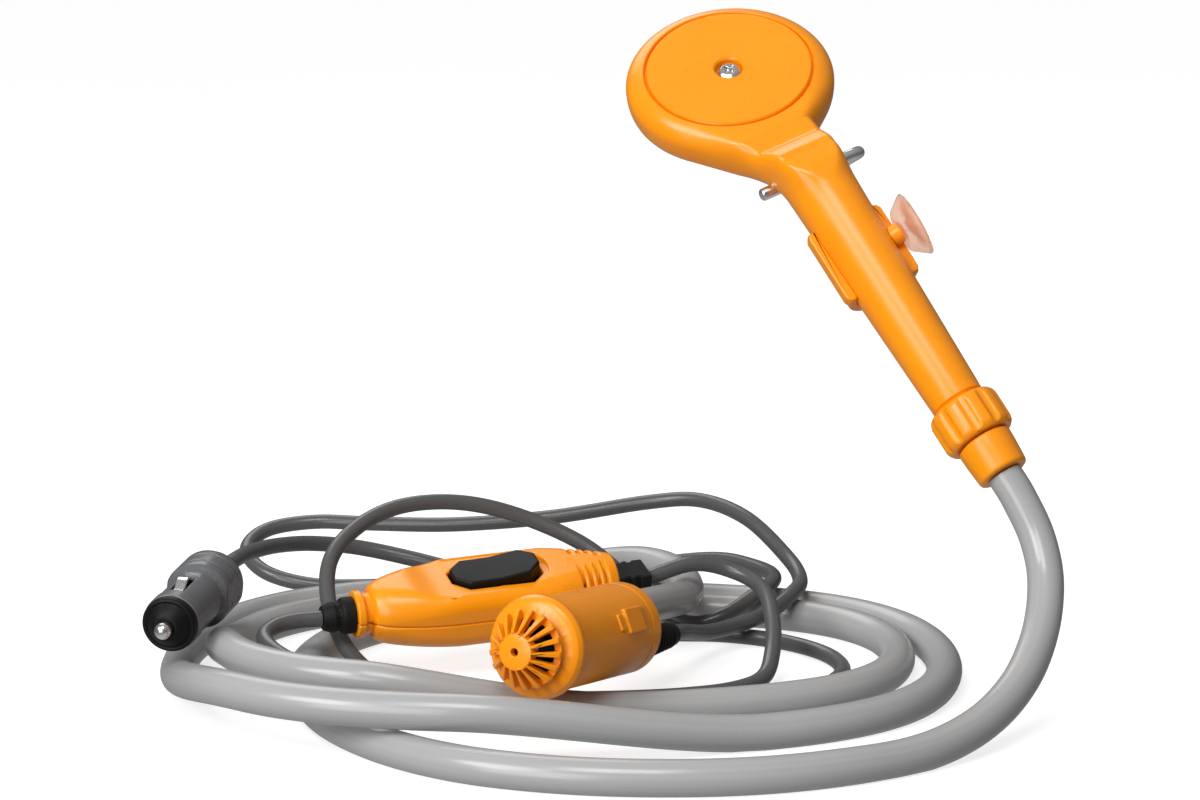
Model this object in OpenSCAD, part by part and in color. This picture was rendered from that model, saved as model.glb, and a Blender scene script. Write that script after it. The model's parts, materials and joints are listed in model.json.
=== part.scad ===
// Camp shower kit: hand shower, hose, submersible pump, rocker switch and 12 V plug.
// Sizes are millimetres. The origin is on the floor at the middle of the hose coil,
// +X points right, +Y to the back and +Z up.

/* [Hand shower] */
// Length of the grip from the swivel nut to the neck
grip_len = 108; // [102:1:114]
// Radius of the grip at the swivel nut
grip_low_r = 10; // [9.4:0.1:10.6]
// Radius of the grip at the neck
grip_top_r = 13; // [12.4:0.1:13.6]
// Distance from the neck to the middle of the spray head
head_reach = 58; // [55:0.5:61]
// Radius of the spray head
head_r = 40; // [37:0.5:42]
// Depth of the spray head
head_deep = 16; // [14:0.5:18]
// Forward lean of the spray head, degrees
head_lean = 20; // [15:1:25]
// Wall thickness of the mouldings
wall = 2.4; // [2:0.1:2.8]
// Radius of one spray hole
jet_r = 0.7; // [0.5:0.05:1]
// Radius of the hook wire
wire_r = 2.4; // [2:0.05:2.6]
// Radius of the suction cup at its rim
cup_r = 12.5; // [11:0.5:13.5]

/* [Hose and leads] */
// Outside diameter of the water hose
hose_d = 13; // [11:0.5:13]
// Outside diameter of the electric lead
lead_d = 6; // [4.5:0.5:6]

/* [Pump] */
// Radius of the pump tube
pump_r = 16.5; // [16:0.25:17]
// Length of the pump from the inlet face to the rear cap
pump_len = 80; // [77:0.5:82]
// Number of inlet slots
slot_count = 17; // [13:1:19]
// Width of one inlet slot at the rim
slot_w = 3.2; // [2.6:0.1:3.4]
// Number of impeller vanes
vane_count = 6; // [3:1:8]

/* [Switch] */
// Length of the switch housing
sw_len = 100; // [96:1:104]
// Width of the switch housing
sw_w = 33; // [31:0.5:35]
// Height of the switch housing
sw_h = 24; // [23:0.5:26]
// Length of the rocker
rock_len = 33; // [28:0.5:34]
// Width of the rocker
rock_w = 17; // [15:0.5:18]
// Tilt of the rocker to each side, degrees
rock_tilt = 5; // [3:0.5:6]

/* [Plug] */
// Radius of the plug barrel
barrel_r = 10.4; // [10.2:0.05:10.5]
// Radius of the plug grip
plug_r = 12.5; // [11.5:0.25:13]
// Travel of the centre tip
tip_travel = 3; // [2:0.25:3.5]

/* [Hidden] */
$fn = 64;

// clearances shared by the pieces
run_gap = 0.05;
part_gap = 0.3;
eps = 0.01;

// colours
orange = [1, 0.6, 0.1];
black = [0.1, 0.1, 0.1];
grey = [0.66, 0.66, 0.66];
steel = [0.8, 0.8, 0.82];
clear = [0.85, 0.75, 0.7];

// turning and placing points
function unit(v) = v / norm(v);
function about_x(a, v) = [v[0], v[1] * cos(a) - v[2] * sin(a), v[1] * sin(a) + v[2] * cos(a)];
function about_y(a, v) = [v[0] * cos(a) + v[2] * sin(a), v[1], v[2] * cos(a) - v[0] * sin(a)];
function about_z(a, v) = [v[0] * cos(a) - v[1] * sin(a), v[0] * sin(a) + v[1] * cos(a), v[2]];
function turned(r, v) = about_z(r[2], about_y(r[1], about_x(r[0], v)));
function placed(at, r, v) = at + turned(r, v);

// where the four hard pieces stand
sleeve_end = 31;
sleeve_mid = 22;
sleeve_r = 10.4;
sleeve_tip_r = 8.8;
hand_rot = [-39, -20, 22];
hand_at = [155, -20, 79] + turned(hand_rot, [0, 0, sleeve_end]);
pump_rot = [-97, 0, -28];
pump_at = [-19, -103, 35.6];
sw_rot = [16, -2, 19.6];
sw_at = [-33, 7.5, 26];
plug_rot = [-85, 0, -12.2];
plug_at = [-142, -43, 30.2];
module at_hand() { translate(hand_at) rotate(hand_rot) children(); }
module at_pump() { translate(pump_at) rotate(pump_rot) children(); }
module at_switch() { translate(sw_at) rotate(sw_rot) children(); }
module at_plug() { translate(plug_at) rotate(plug_rot) children(); }

// smooth curve through hand-chosen points
function knot(p, i) = i < 0 ? 2 * p[0] - p[1]
    : i >= len(p) ? 2 * p[len(p) - 1] - p[len(p) - 2] : p[i];
function between(a, b, c, d, t) = 0.5 * (2 * b + (c - a) * t + (2 * a - 5 * b + 4 * c - d) * t * t
    + (3 * b - a - 3 * c + d) * t * t * t);
function smooth(p, n) = concat([for (i = [0:len(p) - 2]) for (k = [0:n - 1])
    between(knot(p, i - 1), p[i], p[i + 1], knot(p, i + 2), k / n)], [p[len(p) - 1]]);

// round tube swept along a curve, cut flat at the floor
sides = 8;
function ways(c, first, last) = [for (i = [0:len(c) - 1])
    i == 0 ? unit(first) : i == len(c) - 1 ? unit(last) : unit(c[i + 1] - c[i - 1])];
function carried(t, u, i) = i >= len(t) ? []
    : let (w = unit(u - (u * t[i]) * t[i])) concat([w], carried(t, w, i + 1));
function ring(p, t, u, r) = let (v = cross(t, u)) [for (k = [0:sides - 1])
    let (a = 360 * (k + 0.5) / sides, q = p + r * (cos(a) * u + sin(a) * v)) [q[0], q[1], max(q[2], 0)]];
module tube(c, first, last, u, r) {
    t = ways(c, first, last);
    w = carried(t, u, 0);
    n = len(c);
    pts = [for (i = [0:n - 1]) each ring(c[i], t[i], w[i], r)];
    skin = [for (i = [0:n - 2]) for (k = [0:sides - 1])
        let (a = i * sides + k, b = i * sides + (k + 1) % sides, d = a + sides, e = b + sides)
        each [[a, e, b], [a, d, e]]];
    ends = [[for (k = [0:sides - 1]) k], [for (k = [0:sides - 1]) n * sides - 1 - k]];
    polyhedron(pts, concat(skin, ends));
}

// hose coil, spiralling outwards on the floor and riding over the strand to the hand shower
hose_r = hose_d / 2;
lay = 0.4 * hose_d;
coil_from = 0.25;
coil_to = 2.2;
coil_rings = 78;
function hump(turn) = let (a = 360 * turn, d = (a - 340 + 21 * turn + 900) % 360 - 180,
    f = min(1, max(0, (62 - abs(d)) / 44))) f * f * (3 - 2 * f);
function coil_at(turn) = let (a = 180 - 360 * turn, f = hump(turn)) [
    (112 + 16 * turn) * (cos(a) - 0.03 * cos(3 * a)) / 0.97,
    14 - 10 * turn + (56 + 26 * turn) * (sin(a) + 0.03 * sin(3 * a)) / 0.97 - 14 * f,
    lay + (hose_d + 0.9) * f];
coil = [for (i = [0:coil_rings]) coil_at(coil_from + (coil_to - coil_from) * i / coil_rings)];
coil_first = unit(coil_at(coil_from + 0.002) - coil_at(coil_from - 0.002));
coil_last = unit(coil_at(coil_to + 0.002) - coil_at(coil_to - 0.002));
coil_side = unit(cross(coil_first, [0, 0, 1]));
coil_end_side = unit(cross(coil_last, [0, 0, 1]));
fine = [for (i = [0:300]) coil_at(coil_from + (coil_to - coil_from) * i / 300)];
echo(coil_gap = min([for (i = [0:300]) for (j = [i + 20:1:300]) norm(fine[i] - fine[j])]) - hose_d);

// hose from the coil up to the hand shower, listed from the coil
hand_way = turned(hand_rot, [0, 0, 1]);
riser_points = [coil_at(coil_from), [-40, 66, lay], [-67, 51, lay], [-86, 28, lay], [-96, 0, lay],
    [-97, -30, lay], [-91, -60, lay], [-79, -88, lay], [-60, -113, lay], [-35, -132, lay], [-5, -143, lay],
    [26, -147, lay], [58, -145, lay], [88, -136, lay], [116, -120, lay], [138, -100, 9], [154, -78, 17],
    [164, -57, 29], [168, -41, 44], [166, -31, 58], [160, -24, 71], placed(hand_at, hand_rot, [0, 0, -sleeve_end])];

// hose from the coil to the pump, listed from the coil
pump_way = turned(pump_rot, [0, 0, 1]);
spigot_xy = [-5.6, -4.2];
boot_xy = [6.4, 4.8];
spigot_out = 8;
boot_out = 26;
spigot_tip = placed(pump_at, pump_rot, [spigot_xy[0], spigot_xy[1], pump_len + spigot_out]);
boot_tip = placed(pump_at, pump_rot, [boot_xy[0], boot_xy[1], pump_len + boot_out]);
tail_points = [coil_at(coil_to), [-30, 106, 6.5], [-11, 106, 10.5], [8, 103, 15], [24, 94, 18.5], [34.6, 82.2, 19.6],
    [40.9, 68.5, 19.4], [43.3, 51.6, 18.9], [41.5, 37.6, 19.2], [36.9, 22.6, 21.6], spigot_tip + 13 * pump_way, spigot_tip];

// electric leads
lead_r = lead_d / 2;
low = lead_r;
boot_in_x = -sw_len / 2 - 12;
boot_out_x = sw_len / 2 + 14;
sw_way = turned(sw_rot, [1, 0, 0]);
plug_way = turned(plug_rot, [0, 0, 1]);
plug_rear = 62;
plug_lead_points = [placed(plug_at, plug_rot, [0, 0, plug_rear]), [-126.5, 28, 36], [-122, 42, 35.5],
    [-114, 58, 34], [-102, 74, 31], [-85, 84, 27], [-64, 84, 22.5], [-42, 77, 18.5], [-21, 66, 16], [-3, 54, 11],
    [16, 47, 5], [34, 44, low], [56, 42, low], [78, 32, low], [94, 14, low], [99, -8, low], [91, -29, low],
    [72, -44, low], [48, -52, low], [22, -56, low], [-5, -57, low], [-30, -57, low], [-52, -57, 4], [-70, -57, 9],
    [-85, -54.5, 13.5], [-98, -48.5, 17], [-107, -39.5, 19.7], [-110.5, -29.5, 21.7], [-107, -20.5, 23],
    [-100, -15.8, 23.7], placed(sw_at, sw_rot, [boot_in_x, 0, 0])];
switch_lead_points = [placed(sw_at, sw_rot, [boot_out_x, 0, 0]), [45, 35, 32.5], [60, 36, 29.5], [71, 26, 25],
    [74, 8, 17], [73, -8, 9], [69, -22, 4], [58, -34, low], [40, -42, low], [18, -46, low], [-6, -47, low],
    [-28, -46, low], [-46, -40, low], [-62, -30, low], [-75, -18, 6], [-85, -4, 13.5], [-91, 12, 25], [-91, 28, 36],
    [-83, 43, 44], [-70, 55, 49], [-54, 63, 50], [-36, 68, 47.5], [-16, 70, 41], [4, 67, 32], [19, 61, 21],
    [31, 55, 10], [45, 51, 5], [58, 52, 8], [69, 59, 13.5], [76, 70, 15.6], [78, 84, 15.6], [72, 98, 15.6],
    [58, 111, 15.6], [38, 120, 12], [12, 123, 6], [-18, 124, low]];
lead_join = [-30, 1, 0];
pump_lead_points = [[-18, 124, low], [-50, 122, low], [-82, 117, low], [-106, 115, 4], [-125, 120, 8],
    [-134, 134, 14], [-127, 148, 19], [-108, 154, 21], [-84, 151, 21], [-50, 145, 22], [-10, 141, 26], [30, 138, 33],
    [51, 130, 35.5], [69, 112, 32], [84, 92, 21], [88, 74, 16.5], [84, 58, 15], [74, 44, 11], [61, 31, 9.5],
    [49, 15, 11], boot_tip + 9 * pump_way, boot_tip];

module hose_coil() color(grey) tube(coil, coil_first, coil_last, coil_side, hose_r);
module hose_riser() color(grey) tube(smooth(riser_points, 3), -coil_first, hand_way, coil_side, hose_r);
module hose_tail() color(grey) tube(smooth(tail_points, 4), coil_last, -pump_way, coil_end_side, hose_r);
module plug_lead() color(black) tube(smooth(plug_lead_points, 2), plug_way, sw_way, [1, 0, 0], lead_r);
module switch_lead() color(black) tube(smooth(switch_lead_points, 2), sw_way, lead_join, [0, 1, 0], lead_r);
module pump_lead() color(black) tube(smooth(pump_lead_points, 3), lead_join, -pump_way,
    unit(cross(lead_join, [0, 0, 1])), lead_r);

// hand shower
spigot_r = 8.6;
spigot_h = 11;
washer_t = 1.4;
flange_t = 1.5;
nut_r = 13.5;
nut_low = 16.1;
water_r = 4.5;
hd = head_deep / 2;
plate_t = 3.2;
seat_z = hd - 3;
hook_z = grip_len + 2;
hook_y = grip_top_r - 4.2;
function grip_r(z) = grip_low_r + (grip_top_r - grip_low_r) * z / (grip_len - 8);
// frame of the spray head: +Z to its back, +Y along the head away from the grip
module on_head() {
    translate([0, 0, grip_len]) rotate([-head_lean, 0, 0]) translate([0, 0, head_reach]) rotate([90, 0, 0]) children();
}
module head_outside() {
    rotate_extrude() polygon([[0, hd], [0.45 * head_r, hd - 0.15], [0.66 * head_r, hd - 0.5], [0.8 * head_r, hd - 1.2],
        [0.89 * head_r, hd - 2.3], [0.95 * head_r, hd - 3.9], [0.985 * head_r, hd - 6], [head_r, hd - 8.4],
        [head_r, 3.4 - hd], [head_r - 0.5, 1.4 - hd], [head_r - 1.7, -hd], [0, -hd]]);
}
module neck_outside() {
    hull() {
        translate([0, 0, grip_len - 20]) cylinder(r = grip_r(grip_len - 20), h = 9);
        on_head() translate([0, -0.36 * head_r, -hd * 0.62]) cylinder(r = 0.62 * head_r, h = hd * 1.3);
    }
}
module handset_shell() color(orange) at_hand() difference() {
    union() {
        rotate_extrude() polygon([[0, -spigot_h], [spigot_r, -spigot_h], [spigot_r, 0], [grip_low_r - 0.8, 0],
            [grip_low_r, 1.2], [grip_r(grip_len - 14), grip_len - 14], [0, grip_len - 14]]);
        neck_outside();
        on_head() head_outside();
    }
    translate([0, 0, -spigot_h - 1]) cylinder(r = water_r, h = grip_len - 2);
    translate([0, 0, grip_len]) rotate([-head_lean, 0, 0]) translate([0, 0, -15]) cylinder(r = water_r - 0.4, h = 45);
    on_head() {
        difference() {
            rotate_extrude() polygon([[0, -hd - 1], [head_r - 3, -hd - 1], [head_r - 3, plate_t - hd],
                [head_r - 4.6, plate_t - hd], [head_r - 4.6, 0], [head_r - 9, hd - wall - 1], [0, hd - wall - 0.4]]);
            translate([0, 0, 0.5]) cylinder(r = 6.5, h = hd);
        }
        translate([0, 0, seat_z]) cylinder(r = 5.4, h = 4);
        translate([0, 0, -hd]) cylinder(r = 2.2, h = 2 * hd);
        translate([0, 0, hd - 2.2]) difference() {
            cylinder(r = 0.82 * head_r, h = 3);
            translate([0, 0, -1]) cylinder(r = 0.82 * head_r - 1.3, h = 5);
        }
    }
    translate([0, hook_y, hook_z]) rotate([0, 90, 0]) cylinder(r = wire_r + run_gap, h = 80, center = true);
}
module spray_plate() color(orange) at_hand() on_head() difference() {
    union() {
        translate([0, 0, -hd]) cylinder(r = head_r - 3.1, h = plate_t);
        translate([0, 0, plate_t - hd - eps]) cylinder(r = 5.5, h = hd - plate_t + 0.5 + eps);
    }
    translate([0, 0, 1.5 - hd]) cylinder(r = 2, h = 2 * hd);
    for (row = [[0.3, 8], [0.5, 14], [0.72, 20]]) for (i = [0:row[1] - 1]) rotate([0, 0, i * 360 / row[1]])
        translate([row[0] * head_r, 0, -hd - 1]) cylinder(r = jet_r, h = plate_t + 2);
}
module spray_seal() color(black) at_hand() on_head() translate([0, 0, plate_t - hd]) difference() {
    cylinder(r = head_r - 4.6, h = 1.6);
    translate([0, 0, -1]) cylinder(r = head_r - 6.6, h = 4);
}
module head_screw() color(steel) at_hand() on_head() difference() {
    union() {
        translate([0, 0, seat_z]) cylinder(r = 4.3, h = 1.6);
        translate([0, 0, seat_z + 1.6 - eps]) cylinder(r1 = 4.3, r2 = 3.2, h = 0.7);
        translate([0, 0, 2.5 - hd]) cylinder(r = 2, h = seat_z + hd - 2.5 + eps);
    }
    for (a = [0, 90]) rotate([0, 0, a + 20]) translate([-2.4, -0.5, seat_z + 0.9]) cube([4.8, 1, 3]);
}
hook_rise = 20;
hook_left = 18.5;
hook_side = 21;
hook_bend = 5;
hook_reach = 24;
hook_back = 20;
module hook_corner() rotate_extrude(angle = 90) translate([hook_bend, 0]) circle(r = wire_r);
module hanging_hook() color(steel) at_hand() translate([0, hook_y, hook_z]) rotate([hook_rise, 0, 0]) {
    translate([-hook_left, 0, 0]) rotate([0, 90, 0]) cylinder(r = wire_r, h = hook_left + hook_side);
    translate([hook_side, hook_bend, 0]) rotate([0, 0, -90]) hook_corner();
    translate([hook_side + hook_bend, hook_bend, 0]) rotate([-90, 0, 0]) cylinder(r = wire_r, h = hook_reach - 2 * hook_bend);
    translate([hook_side, hook_reach - hook_bend, 0]) hook_corner();
    translate([hook_side - hook_back, hook_reach, 0]) rotate([0, 90, 0]) cylinder(r = wire_r, h = hook_back);
}
clip_z = 53;
clip_h = 31;
rail_r = 2.6;
rail_w = 5;
cup_turn = -15;
cup_base = grip_top_r + 2.8;
cup_rim = cup_base + 7;
peg_r = 4;
peg_in = 2;
module rail() hull() for (z = [rail_r, clip_h - rail_r]) translate([grip_top_r, rail_w - 1.5, clip_z + z]) rotate([90, 0, 0])
    cylinder(r = rail_r, h = rail_w, $fn = 32);
module cup_bracket() color(orange) at_hand() difference() {
    union() {
        translate([0, 0, clip_z]) intersection() {
            cylinder(r = grip_top_r + 2, h = clip_h);
            translate([-30, -1, 0]) cube([60, 40, clip_h]);
        }
        rail();
        mirror([1, 0, 0]) rail();
        translate([0, 0, clip_z + clip_h / 2]) rotate([0, 0, cup_turn]) rotate([0, 90, 0])
            translate([0, 0, grip_top_r - 2]) cylinder(r = peg_r, h = cup_base + peg_in - grip_top_r + 2);
    }
    rotate_extrude() polygon([[0, 20], [grip_r(20), 20], [grip_r(95), 95], [0, 95]]);
}
module suction_cup() color(clear) at_hand() translate([0, 0, clip_z + clip_h / 2]) rotate([0, 0, cup_turn])
    rotate([0, 90, 0]) difference() {
    rotate_extrude() polygon([[0, cup_base], [7.4, cup_base], [8.6, cup_base + 0.8], [cup_r * 0.84, cup_base + 3.4],
        [cup_r, cup_rim - 0.9], [cup_r, cup_rim], [cup_r - 1.4, cup_rim], [cup_r * 0.62, cup_rim - 2.6], [0, cup_rim - 3.4]]);
    translate([0, 0, cup_base - 1]) cylinder(r = peg_r, h = peg_in + 1);
}
module swivel_nut() color(orange) at_hand() difference() {
    rotate_extrude() polygon([[0, -nut_low], [nut_r - 1.6, -nut_low], [nut_r - 0.4, 1.4 - nut_low], [nut_r, 3 - nut_low],
        [nut_r, -3.4], [nut_r - 0.6, -1.4], [nut_r - 2.2, -part_gap], [0, -part_gap]]);
    translate([0, 0, 2.2 - nut_low]) cylinder(r = spigot_r + run_gap, h = nut_low);
    translate([0, 0, -nut_low - 1]) cylinder(r = 7.4, h = nut_low);
    for (i = [0:9]) rotate([0, 0, 36 * i]) translate([nut_r + 1.6, 0, -nut_low - 1]) cylinder(r = 2.6, h = nut_low + 2);
}
flange_z = -spigot_h - washer_t;
module swivel_washer() color(black) at_hand() translate([0, 0, flange_z]) difference() {
    cylinder(r = 8.3, h = washer_t);
    translate([0, 0, -1]) cylinder(r = 5, h = 4);
}
module hose_sleeve() color(orange) at_hand() difference() {
    rotate_extrude() polygon([[0, flange_z], [8.3, flange_z], [8.3, flange_z - flange_t + 0.3], [7.1, flange_z - flange_t],
        [7.1, -nut_low - part_gap], [sleeve_r - 0.8, -nut_low - part_gap], [sleeve_r, -nut_low - part_gap - 0.8],
        [sleeve_r - 0.2, -sleeve_mid], [sleeve_tip_r + 0.8, 0.8 - sleeve_end], [sleeve_tip_r, -sleeve_end], [0, -sleeve_end]]);
    translate([0, 0, -sleeve_end + 3]) cylinder(r = water_r, h = 40);
}

// pump, measured from its inlet face
flange_back = 20;
tube_end = pump_len - 8;
tube_in = pump_r - 2;
flange_r = pump_r + 1.6;
nose_r = pump_r - 2.7;
disc_r = 6.4;
teeth_end = 9.4;
sleeve_in = 24.5;
shaft_r = 1.5;
bulk_z = 26;
bulk_t = 3;
can_r = pump_r - 5;
can_len = 33;
hub_z = 15;
hub_len = 8.5;
hub_r = 4.5;
vane_h = 7.5;
module inlet_grille() color(orange) at_pump() difference() {
    rotate_extrude() polygon([[0, 0], [4.6, 0.2], [disc_r, 0.8], [nose_r - 1.3, 6], [nose_r, 7.3], [nose_r, teeth_end - 0.4],
        [nose_r - 1.6, teeth_end + 1], [nose_r - 1.4, 12.2], [flange_r - 2.8, 12.9], [flange_r - 1, 14.1], [flange_r, 15.9],
        [flange_r, 17.6], [flange_r - 0.7, 19.2], [pump_r, flange_back], [tube_in - 0.15, flange_back],
        [tube_in - 0.15, sleeve_in], [tube_in - 2.2, sleeve_in], [tube_in - 2.2, 16.5], [nose_r - 3.4, 11.5],
        [nose_r - 3.4, 8.4], [5, 3], [0, 3]]);
    for (i = [0:slot_count - 1]) rotate([0, 0, (i + 0.5) * 360 / slot_count]) translate([0, 0, -1])
        linear_extrude(teeth_end + 1) polygon([[disc_r, -0.21 * slot_w], [nose_r + 1, -0.5 * slot_w],
            [nose_r + 1, 0.5 * slot_w], [disc_r, 0.21 * slot_w]]);
    translate([0, 0, -1]) cylinder(r = 1.4, h = 6);
}
module pump_body() color(orange) at_pump() difference() {
    union() {
        translate([0, 0, flange_back]) cylinder(r = pump_r, h = tube_end - flange_back);
        for (a = [-24, 156]) rotate([0, 0, a]) {
            translate([pump_r - 1, -4.5, 52]) cube([2.2, 9, 12]);
            translate([pump_r - 1, -3, 47]) cube([1.7, 6, 3]);
        }
    }
    translate([0, 0, flange_back - 1]) cylinder(r = tube_in, h = bulk_z - flange_back + 1);
    translate([0, 0, bulk_z + bulk_t]) cylinder(r = tube_in, h = pump_len);
    translate([0, 0, bulk_z - 1]) cylinder(r = 5, h = bulk_t + 2);
    for (i = [0:5]) rotate([0, 0, 60 * i]) translate([tube_in - 2.6, 0, bulk_z - 1]) cylinder(r = 1.9, h = bulk_t + 2);
}
module impeller() color(black) at_pump() difference() {
    union() {
        translate([0, 0, hub_z]) cylinder(r = hub_r, h = hub_len);
        translate([0, 0, hub_z + hub_len - 1.5]) cylinder(r = tube_in - 4.6, h = 1.5);
        for (i = [0:vane_count - 1]) rotate([0, 0, i * 360 / vane_count]) translate([3, -0.8, hub_z])
            cube([tube_in - 8, 1.6, vane_h]);
    }
    translate([0, 0, hub_z - 1]) cylinder(r = shaft_r, h = hub_len + 2);
}
module motor_shaft() color(steel) at_pump() translate([0, 0, hub_z - 0.5]) cylinder(r = shaft_r, h = bulk_z + bulk_t + 10 - hub_z + 0.5);
module shaft_seal() color(black) at_pump() translate([0, 0, bulk_z]) difference() {
    cylinder(r = 5, h = bulk_t);
    translate([0, 0, -1]) cylinder(r = shaft_r + run_gap, h = bulk_t + 2);
}
module motor_can() color(steel) at_pump() translate([0, 0, bulk_z + bulk_t]) difference() {
    union() {
        cylinder(r = can_r, h = can_len);
        translate([0, 0, can_len - eps]) cylinder(r = 4.5, h = 2);
    }
    translate([0, 0, -1]) cylinder(r = shaft_r + run_gap, h = 12);
}
screw_at = [[-6.6, 8.8], [6.6, -8.8]];
cap_back = pump_len;
module rear_cap() color(orange) at_pump() difference() {
    rotate_extrude() polygon([[0, tube_end - 5], [tube_in - 0.15, tube_end - 5], [tube_in - 0.15, tube_end],
        [pump_r, tube_end], [pump_r, cap_back - 2.4], [pump_r - 0.8, cap_back - 0.8], [pump_r - 2.6, cap_back],
        [0, cap_back]]);
    translate([0, 0, tube_end - 6]) cylinder(r = tube_in - 2.4, h = 6);
    translate([spigot_xy[0], spigot_xy[1], tube_end - 6]) cylinder(r = 4, h = 20);
    translate([spigot_xy[0], spigot_xy[1], cap_back - 5]) cylinder(r = 7.2, h = 6);
    translate([boot_xy[0], boot_xy[1], cap_back - 5]) cylinder(r = 5.4, h = 6);
    for (p = screw_at) translate([p[0], p[1], tube_end - 1]) cylinder(r = 1.3, h = 20);
}
module rear_seal() color(black) at_pump() translate([0, 0, tube_end - 7]) difference() {
    cylinder(r = tube_in - 0.05, h = 2);
    translate([0, 0, -1]) cylinder(r = tube_in - 2.2, h = 4);
}
module rear_screws() color(steel) at_pump() for (p = screw_at) translate([p[0], p[1], cap_back]) difference() {
    union() {
        cylinder(r = 2.3, h = 1.3);
        translate([0, 0, -6]) cylinder(r = 1.3, h = 6 + eps);
    }
    for (a = [0, 90]) rotate([0, 0, a]) translate([-1.4, -0.3, 0.6]) cube([2.8, 0.6, 2]);
}
module outlet_spigot() color(orange) at_pump() translate([spigot_xy[0], spigot_xy[1], cap_back - 5]) difference() {
    union() {
        cylinder(r = 7.2, h = 5 + spigot_out);
        translate([0, 0, 8]) cylinder(r = 8, h = 2);
    }
    translate([0, 0, -1]) cylinder(r = 4, h = 2 + spigot_out);
}
boot_ribs = 6;
module pump_boot() color(black) at_pump() translate([boot_xy[0], boot_xy[1], cap_back]) rotate_extrude()
    polygon(concat([[0, -5], [5.4, -5], [5.4, 0], [6.6, 0], [6.6, 2.5]],
        [for (i = [0:boot_ribs - 1]) each let (z = 3.6 + 3.2 * i, r = 6.3 - 0.28 * i)
            [[r - 1.5, z - 0.6], [r - 1.5, z + 0.6], [r, z + 1], [r, z + 2]]],
        [[4.2, boot_out - 2.4], [4.2, boot_out], [0, boot_out]]));

// switch housing, measured from its middle with +X to the pump lead and +Z to the rocker
sw_round = 7;
nose_end_r = 9;
tail_end_r = 11.5;
rock_x = 4;
rock_z = sw_h / 2 - 4;
face_z = sw_h / 2 - 1.7;
module pod(grow) {
    hull() {
        translate([-sw_len / 2 + 6, 0, 0]) rotate([0, 90, 0]) cylinder(r = nose_end_r + grow, h = 2, $fn = 36);
        for (y = [-1, 1]) for (z = [-1, 1]) translate([-13, y * (sw_w / 2 - sw_round), z * (sw_h / 2 - sw_round)])
            rotate([0, 90, 0]) cylinder(r = sw_round + grow, h = 38, $fn = 36);
        translate([sw_len / 2 - 2 + grow, 0, 0]) rotate([0, 90, 0]) cylinder(r = tail_end_r + grow, h = 2, $fn = 36);
    }
}
module octagon(l, w) {
    c = w * 0.3;
    polygon([[-l / 2 + c, -w / 2], [l / 2 - c, -w / 2], [l / 2, -w / 2 + c], [l / 2, w / 2 - c], [l / 2 - c, w / 2],
        [-l / 2 + c, w / 2], [-l / 2, w / 2 - c], [-l / 2, -w / 2 + c]]);
}
// flat landing the rocker stands on, open to the nose and rounded behind the rocker
module landing(grow) hull() {
    translate([7, 0]) circle(r = rock_w / 2 + 4.5 + grow);
    translate([-60, -rock_w / 2 - 4.5 - grow]) square([1, rock_w + 9 + 2 * grow]);
}
module sw_solid() {
    difference() {
        pod(0);
        for (i = [0:3]) translate([sw_len / 2 - 6 - 3.2 * i, 0, 0]) rotate([0, 90, 0]) difference() {
            cylinder(r = 30, h = 1.2);
            translate([0, 0, -1]) cylinder(r = tail_end_r + 0.28 * (i + 0.6), h = 4);
        }
    }
    translate([-sw_len / 2 + 2.6, 0, 0]) rotate([0, 90, 0]) cylinder(r = nose_end_r - 1.4, h = 5);
    translate([-sw_len / 2, 0, 0]) rotate([0, 90, 0]) cylinder(r = nose_end_r - 0.2, h = 3.2);
}
module sw_bores() {
    translate([-sw_len / 2 - 1, 0, 0]) rotate([0, 90, 0]) cylinder(r = 4.6, h = 20);
    translate([sw_len / 2 - 8, 0, 0]) rotate([0, 90, 0]) cylinder(r = 4.6, h = 20);
}
post_at = [[-27, 0], [32, 0]];
module switch_upper() color(orange) at_switch() difference() {
    intersection() {
        sw_solid();
        translate([-100, -50, 0]) cube([200, 100, 50]);
    }
    difference() {
        pod(-wall);
        translate([rock_x, 0, 1]) linear_extrude(40) octagon(rock_len + 6, rock_w + 7);
        translate([rock_x, 0, face_z - wall]) linear_extrude(40) landing(wall);
        for (p = post_at) translate([p[0], p[1], -30]) cylinder(r = 3.2, h = 60);
    }
    translate([rock_x, 0, face_z]) linear_extrude(40) landing(0);
    translate([rock_x, 0, -1]) linear_extrude(40) octagon(rock_len + 2, rock_w + 0.8);
    translate([rock_x, 0, rock_z]) rotate([90, 0, 0]) cylinder(r = 1.4 + run_gap, h = rock_w + 4.4, center = true);
    for (p = post_at) translate([p[0], p[1], -1]) cylinder(r = 1.3, h = 6);
    sw_bores();
}
module switch_lower() color(orange) at_switch() difference() {
    intersection() {
        sw_solid();
        translate([-100, -50, -50]) cube([200, 100, 50]);
    }
    difference() {
        pod(-wall);
        for (p = post_at) translate([p[0], p[1], -30]) cylinder(r = 4.4, h = 60);
        for (s = [-9, 9]) translate([rock_x + s - 1, -8, -30]) cube([2, 16, 24]);
    }
    for (p = post_at) {
        translate([p[0], p[1], -30]) cylinder(r = 1.5, h = 40);
        translate([p[0], p[1], -30]) cylinder(r = 2.7, h = 26);
    }
    sw_bores();
}
module switch_rocker() color(black) at_switch() translate([rock_x, 0, rock_z]) rotate([0, -rock_tilt, 0]) {
    difference() {
        translate([0, 0, -4.6]) linear_extrude(10.8) octagon(rock_len, rock_w);
        for (s = [-1, 1]) translate([0, 0, 4.8]) rotate([0, -s * 4, 0]) translate([s < 0 ? -40 : 0, -20, 0]) cube([40, 40, 20]);
        translate([-rock_len / 2 + 2, -rock_w / 2 + 2, -6]) cube([rock_len - 4, rock_w - 4, 6]);
    }
    rotate([90, 0, 0]) cylinder(r = 1.4, h = rock_w + 4, center = true);
}
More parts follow.
